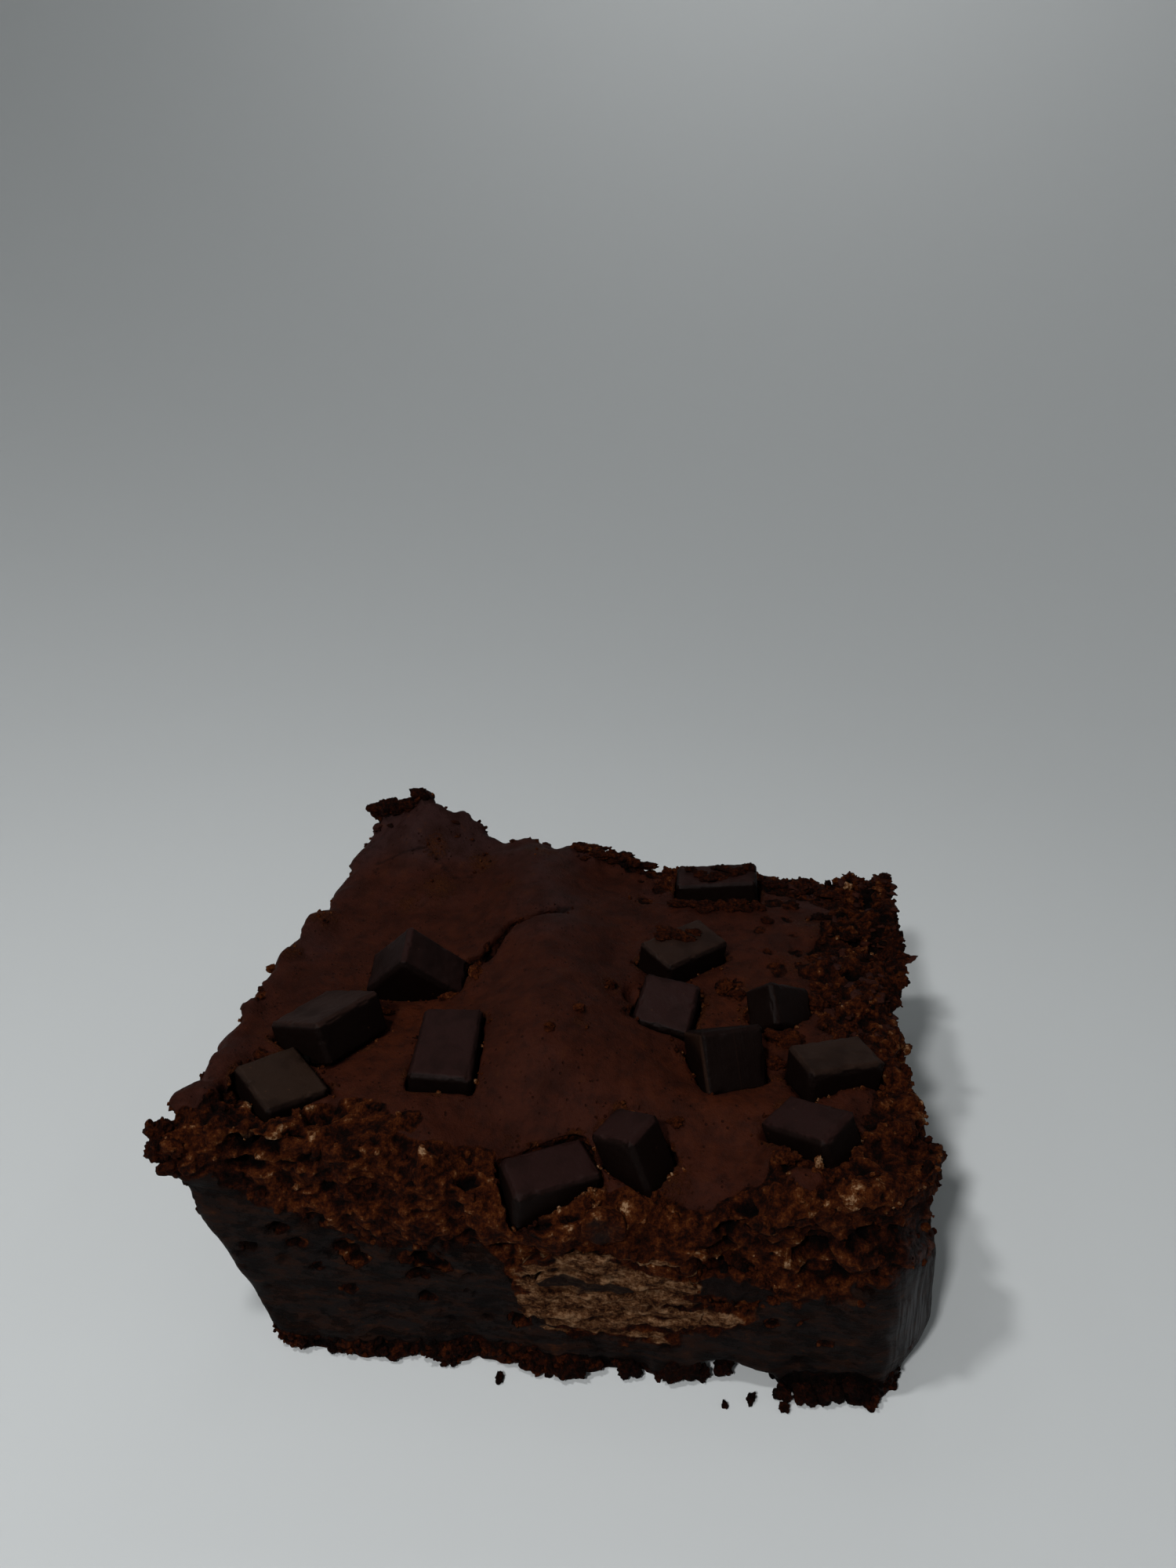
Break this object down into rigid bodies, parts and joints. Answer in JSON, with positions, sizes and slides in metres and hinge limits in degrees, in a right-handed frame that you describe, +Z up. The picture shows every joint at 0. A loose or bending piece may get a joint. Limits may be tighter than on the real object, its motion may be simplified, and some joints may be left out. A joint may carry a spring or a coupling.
{
  "type": "triple chocolate chunk brownie",
  "caption": "Thick square of chocolate brownie with a swollen smooth top, torn edges and a knife-cut front, set with square-cut chocolate chunks.",
  "frame": {"origin": "on the flat foot that the brownie rests on, under the middle of the square before its cuts lean", "axes": "+X along the front cut to the right, +Y from the front cut to the back, +Z up out of the baked top"},
  "size_m": [0.081, 0.0683, 0.0364],
  "materials": {
    "brownie_crumb": "matt baked crumb with a smooth skin on top",
    "dark_chocolate": "satin dark chocolate with dusty edges",
    "milk_chocolate": "matt cut face of soft milk and white chocolate"
  },
  "bodies": {
    "root": {"brownie": "brownie_crumb", "chunk_roof": "dark_chocolate", "chunk_left_slab": "dark_chocolate", "chunk_left_front": "dark_chocolate", "chunk_left_flat": "dark_chocolate", "chunk_right_back": "dark_chocolate", "chunk_right_left": "dark_chocolate", "chunk_standing": "dark_chocolate", "chunk_leaning": "dark_chocolate", "chunk_right_middle": "dark_chocolate", "chunk_right_front": "dark_chocolate", "chunk_front_flat": "dark_chocolate", "chunk_front_block": "dark_chocolate", "chunk_back_edge": "dark_chocolate", "cut_dark_piece": "dark_chocolate", "cut_small_piece": "dark_chocolate", "cut_dark_sliver": "dark_chocolate", "milk_pocket": "milk_chocolate"}
  },
  "joints": []
}
